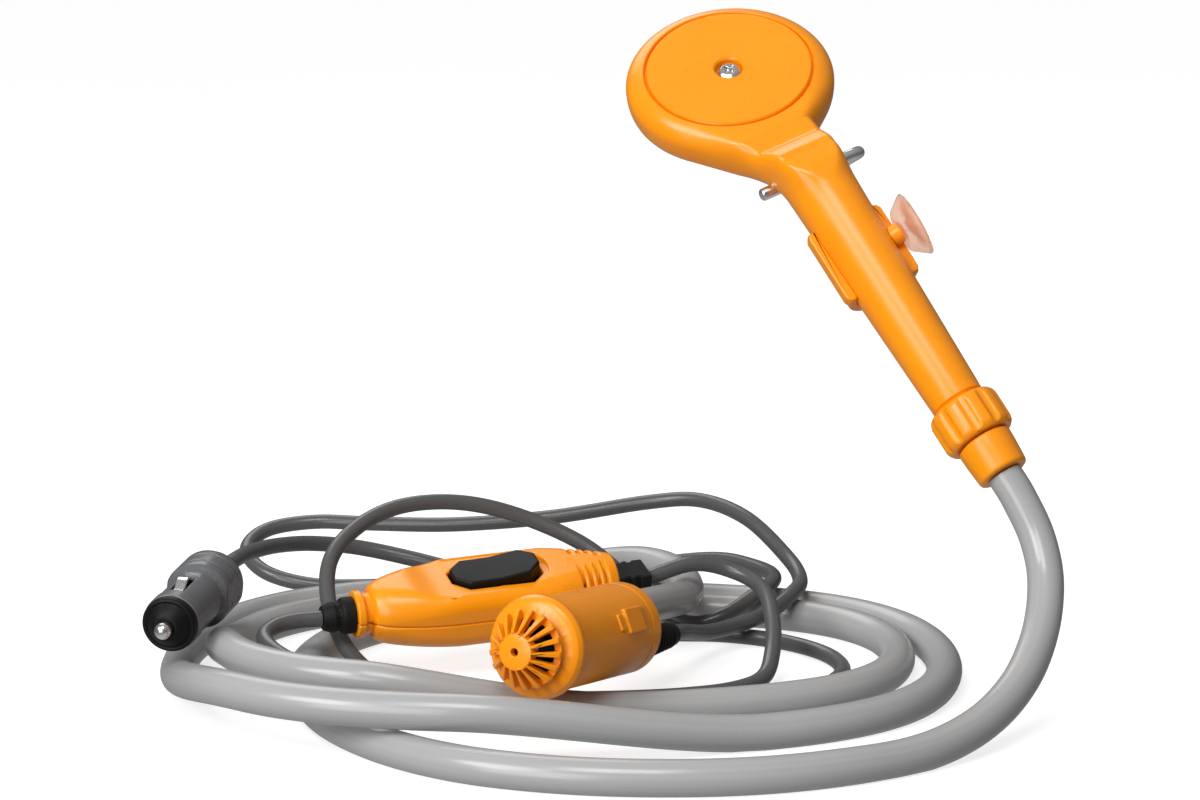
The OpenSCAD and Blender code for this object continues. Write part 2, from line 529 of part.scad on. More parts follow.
module switch_module() color(black) at_switch() {
    translate([rock_x - 13, -7.5, -6]) cube([26, 15, 7.2]);
    for (s = [-7, 0, 7]) translate([rock_x + s - 0.4, -2.4, -8.8]) cube([0.8, 4.8, 3]);
}
module switch_boot_in() color(black) at_switch() rotate([0, -90, 0]) rotate_extrude() polygon([[0, sw_len / 2 - 5],
    [4.6, sw_len / 2 - 5], [4.6, sw_len / 2], [6.8, sw_len / 2], [6.8, sw_len / 2 + 4], [6.2, sw_len / 2 + 5],
    [5.2, sw_len / 2 + 5.6], [5.2, sw_len / 2 + 6.8], [5.8, sw_len / 2 + 7.4], [5.4, sw_len / 2 + 9.4],
    [4.4, sw_len / 2 + 12], [0, sw_len / 2 + 12]]);
module switch_boot_out() color(black) at_switch() difference() {
    union() {
        translate([sw_len / 2 - 5, 0, 0]) rotate([0, 90, 0]) cylinder(r = 4.6, h = 6);
        translate([sw_len / 2, -6.5, -5]) cube([14, 13, 10]);
    }
    for (x = [4, 8]) for (s = [-1, 1]) translate([sw_len / 2 + x, s * 6.5 - 1, -6]) cube([1.6, 2, 12]);
}
module switch_screws() color(steel) at_switch() for (p = post_at) translate([p[0], p[1], -4]) difference() {
    union() {
        translate([0, 0, -1.8]) cylinder(r = 2.5, h = 1.8);
        translate([0, 0, -eps]) cylinder(r = 1.3, h = 8);
    }
    for (a = [0, 90]) rotate([0, 0, a]) translate([-1.6, -0.35, -3]) cube([3.2, 0.7, 2]);
}

// plug, measured from the front of its barrel
shell_back = 54;
land = 6;
land_step = 0.4;
pocket_from = 7;
pocket_to = 23;
bore_r = 5.2;
bore_end = 44.5;
module plug_shell() color([0.25, 0.25, 0.26]) at_plug() difference() {
    intersection() {
        rotate_extrude() polygon([[0, 0], [barrel_r, 0], [barrel_r, land], [barrel_r - land_step, land + 0.2],
            [barrel_r - land_step, 26], [plug_r - 0.8, 28], [plug_r, 29.4],
            [plug_r, 44], [plug_r - 1.2, 47], [6.6, shell_back - 0.6], [6, shell_back], [0, shell_back]]);
        translate([-plug_r + 0.9, -20, -1]) cube([2 * plug_r - 1.8, 40, 80]);
    }
    translate([0, 0, -1]) cylinder(r = bore_r, h = bore_end + 1);
    for (s = [-1, 1]) translate([-2.3, s > 0 ? 5.6 : -15.6, pocket_from]) cube([4.6, 10, pocket_to - pocket_from]);
    for (z = [33, 40]) translate([0, 0, z]) difference() {
        cylinder(r = plug_r + 2, h = 0.8);
        translate([0, 0, -1]) cylinder(r = plug_r - 0.5, h = 3);
    }
    translate([0, 0, shell_back - 5]) cylinder(r = 4.4, h = 6);
}
module plug_cap() color(black) at_plug() difference() {
    rotate_extrude() polygon([[0, 0], [barrel_r - land_step, 0], [barrel_r - land_step, -2.6], [barrel_r - 0.9, -3.4],
        [barrel_r - 1.6, -3.6], [barrel_r - 2.2, -3.2], [6.6, -5.2], [5, -6.6], [4.2, -7], [0, -7]]);
    translate([0, 0, -8]) cylinder(r = 3.1 + run_gap, h = 9);
    translate([0, 0, -2.4]) cylinder(r = bore_r, h = 3);
}
module plug_tip() color(steel) at_plug() rotate_extrude() polygon([[0, -12], [1.2, -11.8], [2.2, -11.2], [2.9, -10.2],
    [3.1, -9.2], [3.1, -2.3], [4.8, -2.3], [4.8, 0.5], [0, 0.5]]);
module plug_fuse() color(clear) at_plug() translate([0, 0, 0.5]) cylinder(r = 3.1, h = 30);
spring_len = bore_end - 30.5 - tip_travel - 0.5;
spring_turns = 5;
module tip_spring() color(steel) at_plug() {
    n = spring_turns * 12;
    c = [for (i = [0:n]) [3.4 * cos(30 * i), 3.4 * sin(30 * i), 31.2 + (spring_len - 1.4) * i / n]];
    tube(c, [0, 1, 0.1], [0, 1, 0.1], [1, 0, 0], 0.6);
    translate([0, 0, 30.5]) difference() {
        cylinder(r = 4.2, h = 0.75);
        translate([0, 0, -1]) cylinder(r = 2.4, h = 3);
    }
}
module contact() {
    translate([-2, 0, 0]) rotate([90, 0, 90]) linear_extrude(4) polygon([[7.8, pocket_from + 0.3], [8.6, pocket_from + 0.3],
        [9.6, pocket_from + 3.4], [11.2, pocket_from + 5.6], [11.9, pocket_from + 7.4], [11.9, pocket_from + 8.6],
        [11.2, pocket_from + 10.4], [9.6, pocket_from + 12.6], [8.6, pocket_to - 0.3], [7.8, pocket_to - 0.3],
        [8.8, pocket_from + 12.2], [10.4, pocket_from + 9.8], [11, pocket_from + 8], [10.4, pocket_from + 6.2],
        [8.8, pocket_from + 3.8]]);
}
module contact_lower() color(steel) at_plug() contact();
module contact_upper() color(steel) at_plug() rotate([0, 0, 180]) contact();
module plug_relief() color(black) at_plug() rotate_extrude() polygon([[0, shell_back - 5], [4.4, shell_back - 5],
    [4.4, shell_back], [5.4, shell_back], [5.4, shell_back + 1.6], [4.4, shell_back + 2.2], [4.4, shell_back + 3.2],
    [5, shell_back + 3.8], [4.9, shell_back + 5], [4, shell_back + 5.6], [4, shell_back + 6.6], [4.4, shell_back + 7.2],
    [4.2, plug_rear], [0, plug_rear]]);

handset_shell();
spray_plate();
spray_seal();
head_screw();
hanging_hook();
cup_bracket();
suction_cup();
swivel_nut();
swivel_washer();
hose_sleeve();
hose_riser();
hose_coil();
hose_tail();
inlet_grille();
pump_body();
impeller();
motor_shaft();
shaft_seal();
motor_can();
rear_cap();
rear_seal();
rear_screws();
outlet_spigot();
pump_boot();
plug_lead();
switch_lead();
pump_lead();
switch_upper();
switch_lower();
switch_rocker();
switch_module();
switch_boot_in();
switch_boot_out();
switch_screws();
plug_shell();
plug_cap();
plug_tip();
plug_fuse();
tip_spring();
contact_upper();
contact_lower();
plug_relief();
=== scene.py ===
"""Camp shower kit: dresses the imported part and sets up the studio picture."""

import json
import math

import bmesh
import bpy
from mathutils import Euler, Matrix, Vector
from mathutils.bvhtree import BVHTree


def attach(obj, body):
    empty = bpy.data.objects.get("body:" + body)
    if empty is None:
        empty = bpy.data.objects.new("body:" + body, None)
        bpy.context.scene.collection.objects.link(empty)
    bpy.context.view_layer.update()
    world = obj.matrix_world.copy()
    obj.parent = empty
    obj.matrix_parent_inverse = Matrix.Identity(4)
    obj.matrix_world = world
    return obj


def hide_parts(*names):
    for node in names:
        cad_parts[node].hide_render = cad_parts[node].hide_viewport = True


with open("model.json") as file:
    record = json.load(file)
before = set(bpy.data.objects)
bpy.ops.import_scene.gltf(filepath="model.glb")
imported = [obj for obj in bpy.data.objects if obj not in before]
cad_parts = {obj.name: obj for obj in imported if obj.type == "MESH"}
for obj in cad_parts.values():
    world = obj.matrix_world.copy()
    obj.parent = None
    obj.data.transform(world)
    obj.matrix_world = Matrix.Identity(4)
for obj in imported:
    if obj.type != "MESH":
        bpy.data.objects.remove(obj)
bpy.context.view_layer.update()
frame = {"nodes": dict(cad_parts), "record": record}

bl_info = {
    "name": "Camp Shower Kit",
    "version": (1, 0, 0),
    "blender": (4, 5, 0),
    "location": "View3D > Sidebar > Shower",
    "description": "Builds a camp shower kit with its hose, pump, switch and plug, and a studio for it",
    "category": "Object",
}

MM = 0.001


def stand(at, turn):
    """Frame of a hard piece, turned about X, Y and Z in that order and then moved (mm, degrees)."""
    matrix = Euler([math.radians(a) for a in turn], "XYZ").to_matrix().to_4x4()
    matrix.translation = Vector(at) * MM
    return matrix


# Frames of the four hard pieces, as in the part's source
SLEEVE_END = 31.0
HAND = stand((155, -20, 79), (-39, -20, 22)) @ Matrix.Translation((0, 0, SLEEVE_END * MM))
PUMP = stand((-19, -103, 35.6), (-97, 0, -28))
SWITCH = stand((-33, 7.5, 26), (16, -2, 19.6))
PLUG = stand((-142, -43, 30.2), (-85, 0, -12.2))

# Hand shower sizes, in millimetres along its spine
GRIP_LOW_R = 10.0
GRIP_TOP_R = 13.0
NECK = 108.0
HEAD_AT = 166.0
HEAD_R = 40.0
HEAD_HALF = 8.0
HEAD_LEAN = math.radians(20)

# The grip, in millimetres: length of its taper, where its round section ends and where its radius stops
# growing, and the rounding of its lower end
GRIP_TAPER = NECK - 8
GRIP_END = 96
GRIP_HELD = 120
END_ROUND = 0.8
END_LONG = 1.2

# The neck's bend: none of the lean at the first place along the spine, all of it at the second
BEND = [(98, 0), (118, 1)]
BEND_FROM = BEND[0][0]
BEND_STEPS = 24

# The flow of the grip into the head, in millimetres: on the side of the web and on the other side
WEB_BLEND = 9.0
HEAD_BLEND = 12.0

# Rows of the hand shower's grid: where each stretch ends and how many rows it has, close at the ridge
ROWS = [(0, 0), (END_LONG, 2), (GRIP_END, 20), (NECK, 12), (128, 80), (HEAD_AT, 30)]
HEAD_ROWS = 30
COLUMNS = 64
SLOPE_STEP = 0.2

# Where the distance from the edge turns from that of the straight flanks to that of the round head
RIM_MIX = [(HEAD_AT - 22, 0), (HEAD_AT - 6, 1)]

# Rounding from the outline up to the back and down to the front: places along the spine and widths
BACK_FILLET_AT = (94, 108, 126, 146)
FRONT_FILLET_AT = (96, 128)
FRONT_LEVEL_AT = (GRIP_END, 126)
NECK_FILLET = 4.0
FRONT_FILLET = 2.5
LEAST_FILLET = 1e-6

# Cuts about the head's axis, as radius and height in millimetres: the groove and the screw's recess
# from its back, the seat of the spray plate from its front
GROOVE = [(31.0, 0.5), (31.4, -0.25), (31.7, -0.6), (31.8, -2.0), (32.5, -2.0), (32.6, -0.8),
          (33.0, -0.45), (33.4, 0.5)]
RECESS = [(0, -3), (5.2, -3), (5.4, -0.7), (6.0, -0.1), (6.6, 0.8), (0, 0.8)]
SEAT = [(0, -1), (37.3, -1), (37.0, 3.2), (0, 3.2)]

# The shell: the angle that is kept sharp, and the distance in metres at which its two halves join
SHELL_SHARP = math.radians(34)
SHELL_JOIN = 2e-5

# The hook, in millimetres: its hole in the neck, the wire through it, two bends with the middle and the
# first angle of each, the wire back, and the rounding of the wire's ends
HOOK_HOLE = (0, 8.8, 110)
HOOK_LEAN = math.radians(20)
HOOK_ACROSS = (-18.5, -10, 0, 10, 21)
HOOK_BENDS = ((5, -90), (19, 0))
HOOK_BEND_R = 5
HOOK_BEND_STEPS = 12
HOOK_BACK = (14, 7, 1)
HOOK_REACH = 24
HOOK_R = 2.4
HOOK_SIDES = 32
HOOK_ROUND = 1.2
HOOK_RIM = 1.0

# Ends of the hose and the leads in the frames of the hard pieces, and how far each runs straight out
SPIGOT_END = (-0.0056, -0.0042, 0.088)
BOOT_END = (0.0064, 0.0048, 0.106)
SWITCH_RIGHT = (0.064, 0, 0)
SWITCH_LEFT = (-0.062, 0, 0)
PLUG_REAR = (0, 0, 0.062)
TAIL_OUT = 0.013
LEAD_OUT = 0.009

# Fineness of the cords: points to a stretch, sides to a ring and the angle that is kept sharp
HOSE_STEPS = 8
HOSE_SIDES = 28
COIL_STEPS = 300
LEAD_STEPS = 7
LEAD_SIDES = 20
CORD_SHARP = 60

# The wound part, in metres: half width and half depth of a turn with their growth, its middle with its
# drift, and its squareness; in degrees, the crossing where one turn climbs over another
COIL_WIDE = 0.112
COIL_WIDER = 0.016
COIL_DEEP = 0.056
COIL_DEEPER = 0.026
COIL_MIDDLE = 0.014
COIL_DRIFT = 0.010
COIL_SQUARE = 0.03
CROSS_AT = 340
CROSS_DRIFT = 21
CROSS_HALF = 62
CROSS_RAMP = 44
CROSS_FORWARD = 0.014
CROSS_RISE = 0.0139

# Routes of the hose and the leads, as in the part's source
HOSE_LAY = 0.0052
LEAD_LAY = 0.003
COIL_FROM = 0.25
COIL_TO = 2.2
RISER = [
    (-0.04, 0.066, HOSE_LAY), (-0.067, 0.051, HOSE_LAY), (-0.086, 0.028, HOSE_LAY),
    (-0.096, 0, HOSE_LAY), (-0.097, -0.03, HOSE_LAY), (-0.091, -0.06, HOSE_LAY),
    (-0.079, -0.088, HOSE_LAY), (-0.06, -0.113, HOSE_LAY), (-0.035, -0.132, HOSE_LAY),
    (-0.005, -0.143, HOSE_LAY), (0.026, -0.147, HOSE_LAY), (0.058, -0.145, HOSE_LAY),
    (0.088, -0.136, HOSE_LAY), (0.116, -0.12, HOSE_LAY), (0.138, -0.1, 0.009),
    (0.154, -0.078, 0.017), (0.164, -0.057, 0.029), (0.168, -0.041, 0.044),
    (0.166, -0.031, 0.058), (0.16, -0.024, 0.071),
]
TAIL = [
    (-0.03, 0.106, 0.0065), (-0.011, 0.106, 0.0105), (0.008, 0.103, 0.015), (0.024, 0.094, 0.0185),
    (0.0346, 0.0822, 0.0196), (0.0409, 0.0685, 0.0194), (0.0433, 0.0516, 0.0189),
    (0.0415, 0.0376, 0.0192), (0.0369, 0.0226, 0.0216),
]
PLUG_LEAD = [
    (-0.1265, 0.028, 0.036), (-0.122, 0.042, 0.0355), (-0.114, 0.058, 0.034), (-0.102, 0.074, 0.031),
    (-0.085, 0.084, 0.027), (-0.064, 0.084, 0.0225), (-0.042, 0.077, 0.0185), (-0.021, 0.066, 0.016),
    (-0.003, 0.054, 0.011), (0.016, 0.047, 0.005), (0.034, 0.044, LEAD_LAY), (0.056, 0.042, LEAD_LAY),
    (0.078, 0.032, LEAD_LAY), (0.094, 0.014, LEAD_LAY), (0.099, -0.008, LEAD_LAY),
    (0.091, -0.029, LEAD_LAY), (0.072, -0.044, LEAD_LAY), (0.048, -0.052, LEAD_LAY),
    (0.022, -0.056, LEAD_LAY), (-0.005, -0.057, LEAD_LAY), (-0.03, -0.057, LEAD_LAY),
    (-0.052, -0.057, 0.004), (-0.07, -0.057, 0.009), (-0.085, -0.0545, 0.0135), (-0.098, -0.0485, 0.017),
    (-0.107, -0.0395, 0.0197), (-0.1105, -0.0295, 0.0217), (-0.107, -0.0205, 0.023),
    (-0.1, -0.0158, 0.0237),
]
SWITCH_LEAD = [
    (0.045, 0.035, 0.0325), (0.06, 0.036, 0.0295), (0.071, 0.026, 0.025), (0.074, 0.008, 0.017),
    (0.073, -0.008, 0.009), (0.069, -0.022, 0.004), (0.058, -0.034, LEAD_LAY), (0.04, -0.042, LEAD_LAY),
    (0.018, -0.046, LEAD_LAY), (-0.006, -0.047, LEAD_LAY), (-0.028, -0.046, LEAD_LAY),
    (-0.046, -0.04, LEAD_LAY), (-0.062, -0.03, LEAD_LAY), (-0.075, -0.018, 0.006),
    (-0.085, -0.004, 0.0135), (-0.091, 0.012, 0.025), (-0.091, 0.028, 0.036), (-0.083, 0.043, 0.044),
    (-0.07, 0.055, 0.049), (-0.054, 0.063, 0.05), (-0.036, 0.068, 0.0475), (-0.016, 0.07, 0.041),
    (0.004, 0.067, 0.032), (0.019, 0.061, 0.021), (0.031, 0.055, 0.01), (0.045, 0.051, 0.005),
    (0.058, 0.052, 0.008), (0.069, 0.059, 0.0135), (0.076, 0.07, 0.0156), (0.078, 0.084, 0.0156),
    (0.072, 0.098, 0.0156), (0.058, 0.111, 0.0156), (0.038, 0.12, 0.012), (0.012, 0.123, 0.006),
    (-0.018, 0.124, LEAD_LAY),
]
PUMP_LEAD = [
    (-0.05, 0.122, LEAD_LAY), (-0.082, 0.117, LEAD_LAY),
    (-0.106, 0.115, 0.004), (-0.125, 0.12, 0.008), (-0.134, 0.134, 0.014), (-0.127, 0.148, 0.019),
    (-0.108, 0.154, 0.021), (-0.084, 0.151, 0.021), (-0.05, 0.145, 0.022), (-0.01, 0.141, 0.026),
    (0.03, 0.138, 0.033), (0.051, 0.13, 0.0355), (0.069, 0.112, 0.032), (0.084, 0.092, 0.021),
    (0.088, 0.074, 0.0165), (0.084, 0.058, 0.015), (0.074, 0.044, 0.011), (0.061, 0.031, 0.0095),
    (0.049, 0.015, 0.011),
]

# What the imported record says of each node
RECORD = frame["record"]
SLOT = {part["node"]: part["material_slot"] for part in RECORD["subparts"]}
BODY = {node: body for body, nodes in RECORD["behaviour"]["bodies"].items() for node in nodes}


def linear(code):
    """Linear colour of an sRGB hex code."""
    parts = [int(code[i:i + 2], 16) / 255 for i in (1, 3, 5)]
    return tuple(p / 12.92 if p <= 0.04045 else ((p + 0.055) / 1.055) ** 2.4 for p in parts)


class ShowerSizes(bpy.types.PropertyGroup):
    hose_diameter: bpy.props.FloatProperty(
        name="Hose diameter", description="Outside diameter of the water hose",
        default=0.013, unit="LENGTH")
    lead_diameter: bpy.props.FloatProperty(
        name="Lead diameter", description="Outside diameter of the electric leads",
        default=0.006, unit="LENGTH")
    rim_round: bpy.props.FloatProperty(
        name="Head rim", description="Width of the rounded rim of the spray head",
        default=0.010, unit="LENGTH")
    edge_round: bpy.props.FloatProperty(
        name="Edge rounding", description="Rounding of the moulded edges",
        default=0.0005, unit="LENGTH")


class ShowerColours(bpy.types.PropertyGroup):
    orange: bpy.props.FloatVectorProperty(
        name="Mouldings", description="Orange of the moulded pieces",
        subtype="COLOR", default=linear("#FF9808"))
    hose: bpy.props.FloatVectorProperty(
        name="Hose", description="Grey of the water hose",
        subtype="COLOR", default=linear("#A6A6A6"))
    lead: bpy.props.FloatVectorProperty(
        name="Leads", description="Grey of the electric leads",
        subtype="COLOR", default=linear("#525252"))
    black: bpy.props.FloatVectorProperty(
        name="Rubber", description="Black of the boots and the rocker",
        subtype="COLOR", default=linear("#0D0C0B"))
    plug: bpy.props.FloatVectorProperty(
        name="Plug", description="Dark grey of the plug",
        subtype="COLOR", default=linear("#626366"))
    cup: bpy.props.FloatVectorProperty(
        name="Cup", description="Tint of the clear suction cup",
        subtype="COLOR", default=linear("#F0CDB8"))


# Finishes made so far, one for each material slot of the record
MADE = {}


def put(tree, kind, settings=None, sockets=None, links=None):
    """Adds a node to a tree with its settings, socket values and incoming links."""
    node = tree.nodes.new(kind)
    for key, value in (settings or {}).items():
        setattr(node, key, value)
    for key, value in (sockets or {}).items():
        node.inputs[key].default_value = value
    for key, (source, output) in (links or {}).items():
        tree.links.new(source.outputs[output], node.inputs[key])
    return node


def patches(size):
    """Scale of a noise whose patches measure so many millimetres."""
    return 1 / (size * MM)


def shaded(colour, factor):
    """A colour made darker or lighter, with alpha."""
    return tuple(min(1.0, c * factor) for c in colour) + (1.0,)


def new_material(name):
    """An empty node material with its shader, coordinates and output."""
    made = bpy.data.materials.new(name)
    made.use_nodes = True
    tree = made.node_tree
    tree.nodes.clear()
    shader = put(tree, "ShaderNodeBsdfPrincipled")
    put(tree, "ShaderNodeOutputMaterial", links={"Surface": (shader, "BSDF")})
    coords = put(tree, "ShaderNodeTexCoord")
    return made, tree, shader, coords


# Sizes of the finishes' patterns, in millimetres, and depths of their relief
FLOW_PATCH = 22
RUB_PATCH = 17
MARK_PATCH = 1.1
CLEAR_PATCH = 8
PAPER_PATCH = 330
GRAIN_DEEP = 0.08
STREAK_DEEP = 0.1

# Die lines of a drawn jacket: their length in millimetres, their number round it and their relief
STREAK_LONG = 250.0
STREAKS_ROUND = 26.0
STREAK_RELIEF = 0.12

# How far red, green and blue light travel inside the orange plastic, in metres
GLOW_REACH = (0.004, 0.0015, 0.0004)


def noise(tree, coords, size, detail):
    """Noise over a piece, with patches of so many millimetres."""
    return put(tree, "ShaderNodeTexNoise", sockets={"Scale": patches(size), "Detail": detail},
               links={"Vector": (coords, "Object")})


# Sockets of a colour mix: its factor, its two colours and its result
MIX_SHARE = 0
MIX_FIRST = 6
MIX_SECOND = 7
MIX_RESULT = 2


def toned(tree, shader, pattern, colour, dark, light):
    """Lets a shader's colour run between a darker and a lighter tone."""
    tone = put(tree, "ShaderNodeMix", {"data_type": "RGBA"},
               {MIX_FIRST: shaded(colour, dark), MIX_SECOND: shaded(colour, light)},
               {MIX_SHARE: (pattern, "Fac")})
    tree.links.new(tone.outputs[MIX_RESULT], shader.inputs["Base Color"])


def glossed(tree, shader, pattern, low, high):
    """Lets a shader's roughness run between two values."""
    gloss = put(tree, "ShaderNodeMapRange", sockets={"To Min": low, "To Max": high},
                links={"Value": (pattern, "Fac")})
    tree.links.new(gloss.outputs["Result"], shader.inputs["Roughness"])


def raised(tree, shader, pattern, relief, deep):
    """Gives a shader a relief of so many millimetres."""
    bump = put(tree, "ShaderNodeBump", sockets={"Strength": relief, "Distance": deep * MM},
               links={"Height": (pattern, "Fac")})
    tree.links.new(bump.outputs["Normal"], shader.inputs["Normal"])


def moulded(name, colour, rough, grain, relief, index, glow=0.0):
    """Moulded plastic or rubber: slightly uneven colour and gloss over a fine surface grain."""
    made, tree, shader, coords = new_material(name)
    flow = noise(tree, coords, FLOW_PATCH, 3.0)
    toned(tree, shader, flow, colour, 0.93, 1.05)
    glossed(tree, shader, flow, rough - 0.05, rough + 0.07)
    raised(tree, shader, noise(tree, coords, grain, 2.0), relief, GRAIN_DEEP)
    shader.inputs["IOR"].default_value = index
    shader.inputs["Subsurface Weight"].default_value = glow
    shader.inputs["Subsurface Radius"].default_value = GLOW_REACH
    shader.inputs["Subsurface Scale"].default_value = 1.0
    return made


def extruded(name, colour, rough):
    """Extruded hose or cable jacket: faint lengthwise streaks and rub marks along its own UV map."""
    made, tree, shader, coords = new_material(name)
    along = put(tree, "ShaderNodeMapping",
                sockets={"Scale": (patches(STREAK_LONG), STREAKS_ROUND, 1.0)},
                links={"Vector": (coords, "UV")})
    streak = put(tree, "ShaderNodeTexNoise", sockets={"Scale": 1.0, "Detail": 4.0},
                 links={"Vector": (along, "Vector")})
    rub = noise(tree, coords, RUB_PATCH, 4.0)
    toned(tree, shader, streak, colour, 0.88, 1.08)
    glossed(tree, shader, rub, rough - 0.08, rough + 0.1)
    raised(tree, shader, streak, STREAK_RELIEF, STREAK_DEEP)
    return made


def plated(name, colour, rough):
    """Plated metal: bright, with fine handling marks."""
    made, tree, shader, coords = new_material(name)
    marks = noise(tree, coords, MARK_PATCH, 4.0)
    toned(tree, shader, marks, colour, 0.92, 1.03)
    glossed(tree, shader, marks, rough - 0.04, rough + 0.08)
    shader.inputs["Metallic"].default_value = 1.0
    return made


def see_through(name, colour, rough, index, clear):
    """Clear soft plastic or glass with a tint and a slightly uneven gloss."""
    made, tree, shader, coords = new_material(name)
    cloud = noise(tree, coords, CLEAR_PATCH, 2.0)
    toned(tree, shader, cloud, colour, 0.95, 1.02)
    glossed(tree, shader, cloud, rough, rough + 0.1)
    shader.inputs["Transmission Weight"].default_value = clear
    shader.inputs["IOR"].default_value = index
    return made


def finish(slot):
    """Makes the finish of one of the record's material slots."""
    tints = bpy.context.scene.shower_colours
    if slot == "orange_abs":
        # ABS from a polished mould: clean, full colour under soft, wide highlights
        return moulded("Moulded orange ABS", tints.orange,
                       rough=0.27, grain=0.5, relief=0.08, index=1.46, glow=0.1)
    if slot == "hose_grey":
        # Soft PVC drawn through a die: smooth and glossy, with faint lines along its length
        return extruded("Extruded grey PVC", tints.hose, rough=0.22)
    if slot == "lead_grey":
        # Cable jacket of softer PVC: darker and a little duller than the hose
        return extruded("Extruded dark PVC", tints.lead, rough=0.27)
    if slot == "black_rubber":
        # Moulded rubber: deep black that hardly shines
        return moulded("Moulded black rubber", tints.black, rough=0.62, grain=0.4, relief=0.2, index=1.33)
    if slot == "black_plastic":
        # Nylon from an eroded mould: black with a fine grain and a dull sheen
        return moulded("Moulded black nylon", tints.black, rough=0.48, grain=0.4, relief=0.15, index=1.3)
    if slot == "dark_plastic":
        # Phenolic plug body: dark grey, smooth from handling
        return moulded("Moulded grey phenolic", tints.plug, rough=0.25, grain=0.35, relief=0.1, index=1.5)
    if slot == "bright_metal":
        # Nickel plating: bright, its mirror softened by use
        return plated("Nickel-plated steel", linear("#E4E4E6"), rough=0.2)
    if slot == "plain_steel":
        # Zinc plating: greyer and duller than nickel
        return plated("Zinc-plated steel", linear("#B9BABD"), rough=0.34)
    if slot == "clear_pvc":
        # Clear PVC gone tan with age: light comes through it, and its edges are darker
        return see_through("Clear tan PVC", tints.cup, rough=0.25, index=1.2, clear=0.86)
    if slot == "fuse_glass":
        # Drawn glass tube: clear with a bright edge
        return see_through("Drawn glass", linear("#EAF2F2"), rough=0.03, index=1.45, clear=1.0)
    raise RuntimeError("no finish for slot " + slot)


def material(slot):
    """The finish of a material slot, made on first use."""
    if slot not in MADE:
        MADE[slot] = finish(slot)
    return MADE[slot]


# Copies of CAD nodes: welding distance, angle below which faces are one, the share of a rounding's width
# that is closed as a fold, and the size of a speck; and the seam of a turned shape
WELD = 2e-6
ONE_FACE = math.radians(1.0)
FOLD = 0.12
SPECK = 1e-6
SEAM = 1e-7


def finished(bm, name, *nodes, angle=38):
    """Makes a mesh the smooth shaded object that stands for CAD nodes and rides on their body."""
    mesh = bpy.data.meshes.new(name)
    bm.to_mesh(mesh)
    bm.free()
    mesh.shade_smooth()
    mesh.set_sharp_from_angle(angle=math.radians(angle))
    mesh.materials.append(material(SLOT[nodes[0]]))
    obj = bpy.data.objects.new(name, mesh)
    bpy.context.scene.collection.objects.link(obj)
    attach(obj, BODY[nodes[0]])
    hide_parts(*nodes)
    return obj


def softened(node, width, angle=32, reshape=None):
    """A copy of a CAD node with its hard edges rounded, as a moulding or a turned piece has them."""
    bm = bmesh.new()
    bm.from_mesh(frame["nodes"][node].data)
    bmesh.ops.remove_doubles(bm, verts=bm.verts, dist=WELD)
    bmesh.ops.dissolve_limit(bm, angle_limit=ONE_FACE, verts=bm.verts, edges=bm.edges)
    skin = BVHTree.FromBMesh(bm)
    hard = [e for e in bm.edges if e.is_convex and e.calc_face_angle() > math.radians(angle)]
    bmesh.ops.bevel(bm, geom=hard, offset=width, offset_type="OFFSET", segments=3, profile=0.5,
                    affect="EDGES", clamp_overlap=False, material=-1)
    for v in bm.verts:
        near = skin.find_nearest(v.co)
        if near[3] > width / 2:
            v.co = near[0]
    bmesh.ops.remove_doubles(bm, verts=bm.verts, dist=width * FOLD)
    bmesh.ops.dissolve_degenerate(bm, dist=SPECK, edges=bm.edges)
    if reshape:
        reshape(bm)
    obj = finished(bm, node.title().replace("_", ""), node)
    flat = obj.modifiers.new("Even shading", "WEIGHTED_NORMAL")
    flat.keep_sharp = True
    return obj


def carried(*nodes):
    """Gives CAD nodes that stay as they are the finish of their slot."""
    for node in nodes:
        data = frame["nodes"][node].data
        data.materials.clear()
        data.materials.append(material(SLOT[node]))


def smooth(points, steps):
    """Points of the smooth curve through a route's points."""
    route = [Vector(p) for p in points]
    padded = [2 * route[0] - route[1], *route, 2 * route[-1] - route[-2]]
    line = []
    for a, b, c, d in zip(padded, padded[1:], padded[2:], padded[3:]):
        for k in range(steps):
            t = k / steps
            line.append(0.5 * (2 * b + (c - a) * t + (2 * a - 5 * b + 4 * c - d) * t * t
                               + (3 * b - a - 3 * c + d) * t ** 3))
    return line + [route[-1]]


def coil_at(turn):
    """Point of the wound hose after so many turns."""
    gap = (360 * turn - CROSS_AT + CROSS_DRIFT * turn + 180) % 360 - 180
    rise = min(1.0, max(0.0, (CROSS_HALF - abs(gap)) / CROSS_RAMP))
    rise = rise * rise * (3 - 2 * rise)
    a = math.radians(180 - 360 * turn)
    across = (math.cos(a) - COIL_SQUARE * math.cos(3 * a)) / (1 - COIL_SQUARE)
    deep = (math.sin(a) + COIL_SQUARE * math.sin(3 * a)) / (1 - COIL_SQUARE)
    middle = COIL_MIDDLE - COIL_DRIFT * turn
    return Vector((
        (COIL_WIDE + COIL_WIDER * turn) * across,
        middle + (COIL_DEEP + COIL_DEEPER * turn) * deep - CROSS_FORWARD * rise,
        HOSE_LAY + CROSS_RISE * rise))


